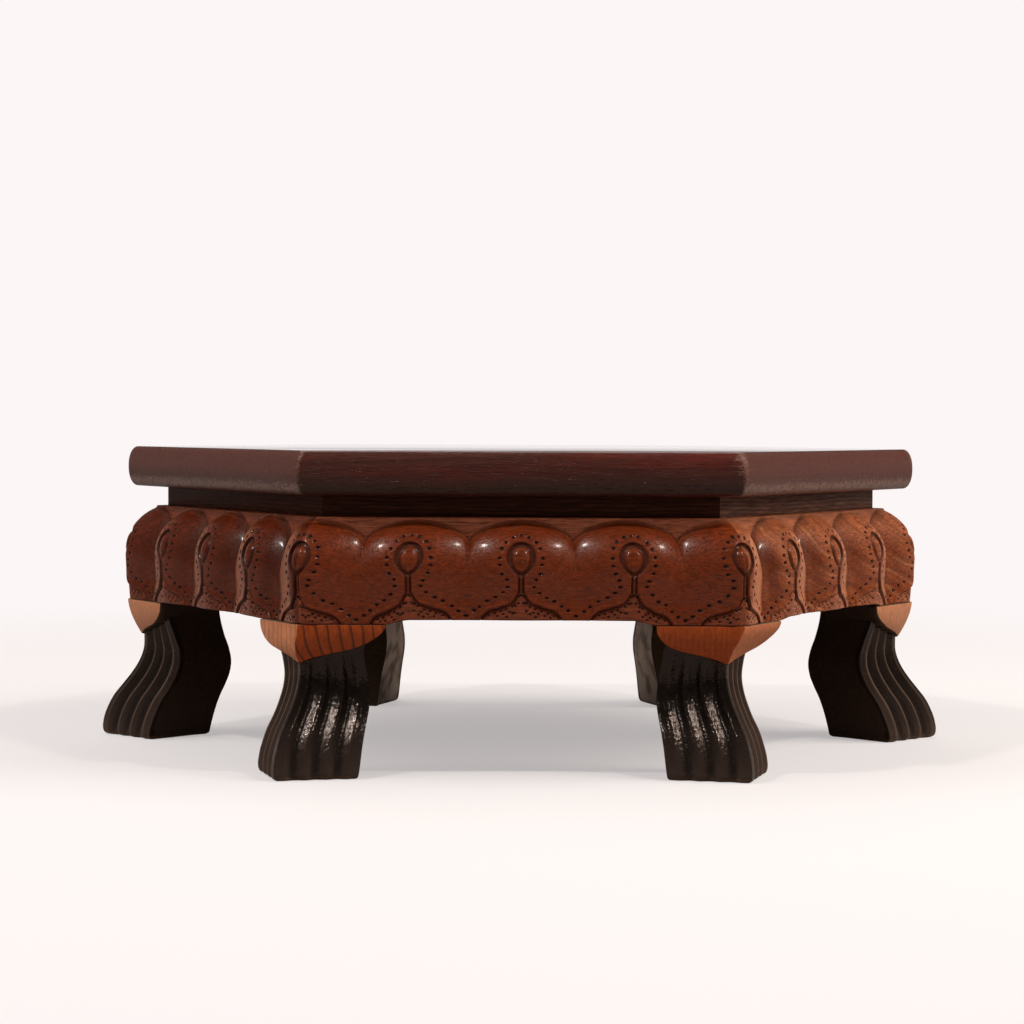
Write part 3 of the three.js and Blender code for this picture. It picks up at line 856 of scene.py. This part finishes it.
def cut_or_join(piece, other, operation):
    """Cuts another piece out, or joins it on."""
    boolean = piece.modifiers.new("boolean", "BOOLEAN")
    boolean.object = other
    boolean.operation = operation
    boolean.solver = "EXACT"
    boolean.material_mode = "TRANSFER"
    bpy.context.view_layer.objects.active = piece
    bpy.ops.object.modifier_apply(modifier="boolean")
    bpy.data.objects.remove(other)


def cloud(tree, scale):
    """Noise that is alike in all directions."""
    inputs = {"Vector": object_place(tree), "Scale": scale, "Detail": 3.0}
    return add_node(tree, "ShaderNodeTexNoise", inputs).outputs[0]


def ebonised_finish(name, dark, light, mottle, rough_from, gloss, depth, patch_size=2.5):
    """Black stain with worn crests, grooves darkened as painted shade, and towards the floor a painted
    sheen and a paler rim.
    """
    material, tree = new_material(name)
    wood = figure(tree, 3, 6)
    fibre = wood["Fibre"]
    worn, ridge = stored(tree, "worn"), stored(tree, "ridge")
    patches = between(tree, cloud(tree, 1000 / patch_size), 0.38, 0.62)
    mottling = scaled(tree, patches, mottle, times(tree, fibre, 0.3))
    body = blend(tree, mottling, dark, light)
    body = stain(tree, body, worn, 0.55, (64, 49, 41))
    crest = times(tree, calc(tree, "POWER", ridge, 20.0), worn)
    body = stain(tree, body, crest, 0.5, (150, 124, 104))
    height = above_floor(tree)
    # Painted sheen: paler towards the floor.
    body = stain(tree, body, between(tree, height, 36 * mm, 6 * mm), 0.55, (74, 59, 52))
    # Painted shade: darker in the grooves.
    body = stain(tree, body, stored(tree, "groove"), 0.75, (6, 4, 3))
    uneven_height = scaled(tree, wood["Marks"], 3.5 * mm, height)
    body = stain(tree, body, between(tree, uneven_height, 4.2 * mm, 2.2 * mm), 0.6, (128, 98, 72))
    rough = scaled(tree, fibre, 0.1, rough_from)
    rough = scaled(tree, calc(tree, "SUBTRACT", 1.0, ridge), 0.14, rough)
    rough = scaled(tree, crest, 0.6, rough)
    ripples = noise(tree, object_place(tree), (420, 420, 560), 3)
    bumps = scaled(tree, wood["Marks"], 0.2, ripples)
    bumps = calc(tree, "ADD", times(tree, fibre, 0.15), bumps)
    finish_shader(tree, body, rough, bumps, depth, gloss, (1, 0.8, 0.7, 1))
    return material


ebonised = ebonised_finish(
    "ebonised_wood", (9, 6, 4), (32, 23, 17),
    mottle=0.3, rough_from=0.08, gloss=0.5, depth=0.38,
)
inner_ebonised = ebonised_finish(
    "inner_ebonised_wood", (44, 29, 17), (72, 53, 39),
    mottle=0.3, rough_from=0.5, gloss=0.2, depth=0.16,
)
# A pale, mottled finish for the inner faces of the two rear legs that face the front.
pale_inner_ebonised = ebonised_finish(
    "pale_inner_ebonised_wood", (150, 124, 104), (244, 222, 202),
    mottle=1.2, rough_from=0.45, gloss=0.2, depth=0.16, patch_size=15,
)

knee_wood, tree = new_material("knee_wood")
wood = figure(tree, 3, 5, 0.62)
# The knee is paler where its pale value is high: on the two front knees that is painted sheen on the side
# face.
shade = blend(tree, stored(tree, "pale"), (168, 71, 14), (198, 132, 92))
body = stain(tree, shade, wood["Rings"], stored(tree, "ringed"), (74, 30, 9))
body = shaded(tree, body, wood["Fibre"], 0.8, 0.6)
body = stain(tree, body, wood["Pores"], 0.35, (80, 36, 18))
body = shaded(tree, body, wood["Marks"], 0.8, 0.6)
rough = scaled(tree, wood["Fibre"], 0.2, 0.3)
finish_shader(tree, body, rough, wood["Fibre"], 0.12, 0.3)

leg = skin("leg_model", leg_columns, leg_rows, shaft_place)
close_tube(leg)
dress(leg, ebonised, raw_wood, inner_ebonised)
for polygon in leg.data.polygons:
    if len(polygon.vertices) > 4 and polygon.center.z < 1 * mm:
        polygon.material_index = 1
    elif polygon.normal.x < -0.3:
        polygon.material_index = 2
knee = skin("knee_model", 4, knee_rows, knee_place)
close_tube(knee)
round_edges(knee, 0.9, 3)
dress(knee, knee_wood, inner_ebonised)
for polygon in knee.data.polygons:
    facing = polygon.normal.x * cos_mitre + abs(polygon.normal.y) * sin_mitre
    polygon.material_index = 0 if facing > 0.72 else 1
cut_or_join(leg, knee, "UNION")
post = skin("post_model", 4, 3, post_place)
close_tube(post)
round_edges(post, 1.0, 2)
dress(post, raw_wood)
cut_or_join(leg, post, "UNION")

screw_lifts = {1: 13, -1: 29}
screw_from_corner = 12
screw_x = apron_inner * tan_mitre - screw_from_corner
head_height = 2.4
bore_radius = 4.3
bore_length = 16
bore_sink = 0.3
corner_offset = screw_from_corner * (sin_mitre - cos_mitre)
screw_run = (apron_inner / cos_mitre - corner_offset - post_inner) / (sin_mitre + cos_mitre)
bore_y = apron_inner - screw_run + head_height + bore_sink - bore_length / 2
for side, lift in screw_lifts.items():
    bpy.ops.mesh.primitive_cylinder_add(vertices=32, radius=bore_radius * mm, depth=bore_length * mm)
    bore = bpy.context.object
    bore.data.transform(
        turned(30 * (side - 3))
        @ Matrix.Translation((side * screw_x * mm, bore_y * mm, (leg_height + lift) * mm))
        @ Matrix.Rotation(math.pi / 2, 4, "X")
    )
    dress(bore, raw_wood)
    cut_or_join(leg, bore, "DIFFERENCE")
smooth(leg, 40)

ring_scales = {
    "right": 0.8, "rear_right": 1.1, "rear_left": 0.7,
    "left": 1.2, "front_left": 0.58, "front_right": 1.0,
}
lean = {"front_left": -4.0, "front_right": -4.4}
lean_height = 18
knee_growth = {"right": 9, "left": 3.5}
pale_inner_side = {"rear_left": -1, "rear_right": 1}
pale_side = {"front_left": (-2, 0.8), "front_right": (2, 0.5)}
points = corners_of(leg)
share = np.clip(points[:, 2] / leg_height, 0, 1)
toe, heel, half = leg_levels(share)
length = np.hypot(toe - heel - half, half)
along = ((toe - points[:, 0]) * (toe - heel - half) + np.abs(points[:, 1]) * half) / length**2
below = ((toe - points[:, 0]) * half - np.abs(points[:, 1]) * (toe - heel - half)) / length
on_face = (below < reed_depth * 1.6) & (points[:, 2] < leg_height)
keep_values(leg, "ridge", np.where(on_face, np.clip(1 - below / reed_depth, 0, 1), 0))
groove = ramp(below / groove_depth(share), 0.45, 1.05) * ramp(points[:, 2], 0.5, 3)
keep_values(leg, "groove", np.where(on_face, groove, 0))
in_knee = (points[:, 2] > leg_height - knee_drop) & (points[:, 2] < leg_height + 0.5)
wing_end = in_knee * np.clip((np.abs(points[:, 1]) / cos_mitre - 36) / 14, 0, 1)
for index, (name, degrees) in enumerate(corner_at.items()):
    seeds = random.Random(60 + index)
    copy = own_copy(leg, "shaped_leg_" + name)
    shaped = points.copy()
    growth = knee_growth.get(name, 0) * wing_end
    shaped[:, 0] -= growth * sin_mitre
    shaped[:, 1] += np.sign(points[:, 1]) * growth * cos_mitre
    place_corners(copy, shaped)
    # On the two front legs the knee's side face is paler: painted sheen. The other knees are pale all
    # over.
    way, most = pale_side.get(name, (0, 0.9))
    pale = most * (np.clip(0.5 + points[:, 1] * way, 0, 1) if way else np.ones(len(points)))
    keep_values(copy, "pale", pale)
    worn = ramp(np.sign(way) * points[:, 1], -0.5, 0.5) if way else 0.6
    keep_values(copy, "worn", np.where(on_face, worn, 0) * (0.3 + 0.7 * ramp(along, 0.05, 0.25)))
    keep_values(copy, "ringed", (0.85 if name == "front_left" else 0.25) * (1 - 0.7 * pale))
    turn = math.radians(seeds.uniform(-25, 25) - (90 if name == "front_left" else 60))
    across = points[:, 0] - 220
    grain_y = across * math.cos(turn) - points[:, 1] * math.sin(turn) + 0.22 * points[:, 2] + 90
    grain_z = across * math.sin(turn) + points[:, 1] * math.cos(turn) + seeds.uniform(-20, 20)
    grain = np.stack([points[:, 2] + seeds.uniform(0, 500), grain_y, grain_z], axis=1)
    keep_grain(copy, grain * ring_scales[name])
    if name in pale_inner_side:
        dress(copy, pale_inner_ebonised)
        inner_index = list(copy.data.materials).index(inner_ebonised)
        for polygon in copy.data.polygons:
            if polygon.material_index == inner_index and polygon.normal.y * pale_inner_side[name] > 0:
                polygon.material_index = len(copy.data.materials) - 1
    copy.data.transform(turned(degrees))
    if name in lean:
        placed = corners_of(copy)
        placed[:, 0] += lean[name] * ramp(leg_height - placed[:, 2], 0, lean_height)
        place_corners(copy, placed)
    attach(copy, "root")
    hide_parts("leg_" + name)
bpy.data.objects.remove(leg)


# Leg screws
# Zinc-coated wood screws, sunk into the inner faces of the posts.

screw_steel, tree = new_material("screw_steel")
speck = cloud(tree, 900.0)
body = blend(tree, speck, (120, 116, 108), (190, 186, 176))
rough = scaled(tree, speck, 0.3, 0.3)
inputs = {"Base Color": body, "Metallic": 1.0, "Roughness": rough}
zinc = add_node(tree, "ShaderNodeBsdfPrincipled", inputs)
add_node(tree, "ShaderNodeOutputMaterial", {"Surface": zinc.outputs[0]})
for name in corner_at:
    for end in ("lower", "upper"):
        refinish(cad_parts["leg_screw_" + name + "_" + end], screw_steel)


# Neck: six boards laid flat on the apron, mitred at the corners
# Planed from a dark hardwood and stained; only their outer edges are seen. Screws hold them down.


def neck_finish(name, light, dark):
    material, tree = new_material(name)
    wood = figure(tree, 2.2, 10)
    body = stain(tree, light, wood["Rings"], 0.6, dark)
    body = blend(tree, 1.0, body, between(tree, wood["Fibre"], 0.3, 0.7, 0.3, 1.6), "MULTIPLY")
    rough = scaled(tree, wood["Fibre"], 0.25, 0.45)
    finish_shader(tree, body, rough, wood["Fibre"], 0.2, 0.15, (1, 0.82, 0.72, 1))
    return material


neck_wood = neck_finish("neck_wood", (70, 34, 20), (34, 15, 8))
pale_neck = neck_finish("neck_wood_pale", (116, 82, 68), (66, 42, 32))
neck_pith = (-240, -60)


def eased_copy(node, name, width):
    """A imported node's shape as a new piece, merged and with its sharp edges rounded."""
    copy = own_copy(node, name)
    copy.parent = None
    for key in list(copy.keys()):
        del copy[key]
    edit(copy)
    bpy.ops.mesh.select_all(action="SELECT")
    bpy.ops.mesh.remove_doubles(threshold=0.005 * mm)
    bpy.ops.mesh.dissolve_limited(angle_limit=math.radians(1))
    bpy.ops.object.mode_set(mode="OBJECT")
    round_edges(copy, width, 2, 40)
    smooth(copy, 40)
    copy.data.materials.clear()
    return copy


def side_grain(piece, degrees, seeds, pith):
    """Grain along the side of the table that a piece lies on."""
    points = corners_of(piece)
    turn = math.radians(degrees)
    x = points[:, 0] * math.cos(turn) + points[:, 1] * math.sin(turn)
    y = points[:, 1] * math.cos(turn) - points[:, 0] * math.sin(turn)
    shift = [seeds.uniform(-300, 300), pith[0] + seeds.uniform(-12, 12), pith[1] + seeds.uniform(-12, 12)]
    keep_grain(piece, np.stack([x, y, points[:, 2]], axis=1) + np.array(shift))


for index, (name, degrees) in enumerate(turn_at.items()):
    piece = eased_copy(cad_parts["neck_board_" + name], "planed_neck_" + name, 0.3)
    side_grain(piece, degrees, random.Random(80 + index), neck_pith)
    dress(piece, pale_neck if name == "front_right" else neck_wood)
    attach(piece, "root")
    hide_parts("neck_board_" + name)
    for side in ("right", "left"):
        refinish(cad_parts["neck_screw_" + name + "_" + side], screw_steel)


# Top: three boards glued edge to edge on loose splines
# Sawn from a dark red-brown hardwood, cut to a hexagon together, rounded along the edge, stained and
# lacquered. Screws from below, through the neck, hold them.

neck_top = 158.5
top_thickness = 25
edge_bulge = 6.5
edge_roundness = 2.2
top_corner_radius = 3.5
board_width = 2 * top_face / 3
glue_gap = 0.1
side_columns = 18
edge_rows = 22
column_steps = [0, 0.3, 0.8, 1.5, 2.4, 3.4, 6, 12, 40, 125]


def top_place(u, v):
    """Round the slab's six sides with u, and from below over its rounded edge with v."""
    side = np.minimum(np.floor(u * 6 + 1e-6), 5)
    step = np.round((u * 6 - side) * side_columns).astype(int)
    from_corner = np.array(column_steps)[np.minimum(step, side_columns - step)]
    toward = np.where(step < side_columns / 2, -1, 1)
    angle = math.pi / 2 * (2 * v - 1)
    height = np.sign(angle) * np.abs(np.sin(angle)) ** (2 / edge_roundness)
    swell = np.abs(np.cos(angle)) ** (2 / edge_roundness)
    swell = np.where((v < 0.001) | (v > 0.999), 0, swell)
    corner = side_length - edge_bulge * (1 - swell)
    face = corner * cos_mitre - round_over(top_corner_radius, top_corner_radius * tan_mitre - from_corner)
    along = toward * (1 - from_corner / (side_length / 2)) * face * tan_mitre
    turn = np.radians(60 * side + 30)
    x = face * np.cos(turn) - along * np.sin(turn)
    y = face * np.sin(turn) + along * np.cos(turn)
    on_right = x > 0
    flat = ramp(swell, 0.5, 0)
    facing = 1 - ramp(np.abs(np.sin(turn)), 0.6, 0.9)
    # Corners: wear, partly painted highlight. Low on the side facets, a painted reflection of the floor.
    corner_wear_and_highlight = stroke(from_corner, np.where(on_right, 6, 2.8)) * ramp(height, -0.9, -0.2)
    corner_wear_and_highlight = corner_wear_and_highlight * np.where(on_right, 0.85, 0.72) * (0.7 + 0.3 * ramp(height, -0.3, 0.7))
    painted_edge_reflection = 0.8 * facing * stroke(height + 0.7, 0.38)
    kept = {
        "corner": np.maximum(corner_wear_and_highlight, painted_edge_reflection) * (swell > 0),
        # Painted light on the side facets, and painted shade on the lower rounding, less on the right
        # facets.
        "flat": flat * (height > 0),
        "side": facing * (1 - flat),
        "under": ramp(-height, -0.2, 0.7) * (1 - flat) * (1 - 0.45 * facing * on_right),
    }
    return x, y, neck_top + top_thickness / 2 * (1 + height), kept


top_wood, tree = new_material("top_wood")
wood = figure(tree, 5, 30)
side = stored(tree, "side")
body = stain(tree, (73, 37, 31), wood["Rings"], 0.3, (42, 19, 14))
flame = between(tree, noise(tree, stored(tree, "grain", "Vector"), (9, 60, 60), 2), 0.5, 0.72)
# The side facets get less flame and a paler colour, painted light; the lower rounding is darker, painted
# shade.
body = stain(tree, body, flame, scaled(tree, side, -0.75, 0.75), (98, 30, 24))
body = stain(tree, body, side, 0.75, (100, 61, 53))
body = stain(tree, body, stored(tree, "under"), 0.75, (30, 13, 8))
body = shaded(tree, body, wood["Fibre"], 0.9, 0.55)
body = stain(tree, body, wood["Pores"], 0.5, (26, 12, 9))
# Scuffs at the corners, partly painted highlight, and a painted reflection along the lower side edges.
grit = scaled(tree, wood["Fibre"], 0.5, times(tree, wood["Marks"], 0.5))
scuff_and_sheen = between(tree, scaled(tree, stored(tree, "corner"), 0.36, grit), 0.68, 0.9)
body = stain(tree, body, scuff_and_sheen, 0.62, (158, 124, 109))
rough = scaled(tree, wood["Fibre"], 0.3, 0.16)
height = calc(tree, "SUBTRACT", wood["Fibre"], wood["Pores"])
finish_shader(tree, body, rough, height, 0.14, 0.5, (1, 0.78, 0.7, 1), coat=stored(tree, "flat"))

slab = skin("top_model", 6 * side_columns, edge_rows, top_place)
close_tube(slab)
smooth(slab, 40)
dress(slab, top_wood)
for index, name in enumerate(("front", "middle", "rear")):
    seeds = random.Random(100 + index)
    middle = (index - 1) * board_width
    piece = own_copy(slab, "shaped_top_" + name)
    edit(piece)
    for way in (-1, 1):
        if way != index - 1:
            bpy.ops.mesh.select_all(action="SELECT")
            cut_at = (0, (middle + way * (board_width / 2 - glue_gap)) * mm, 0)
            bpy.ops.mesh.bisect(plane_co=cut_at, plane_no=(0, way, 0), use_fill=True, clear_outer=True)
    bpy.ops.object.mode_set(mode="OBJECT")
    shift = [seeds.uniform(-8, 8), seeds.uniform(-3, 3) + 190, seeds.uniform(-3, 3) - 70]
    keep_grain(piece, corners_of(piece) + np.array(shift))
    smooth(piece, 40)
    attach(piece, "root")
    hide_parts("top_board_" + name)
bpy.data.objects.remove(slab)
for name in ("front", "rear"):
    refinish(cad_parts["top_spline_" + name], raw_wood)
for name in turn_at:
    refinish(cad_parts["top_screw_" + name], screw_steel)
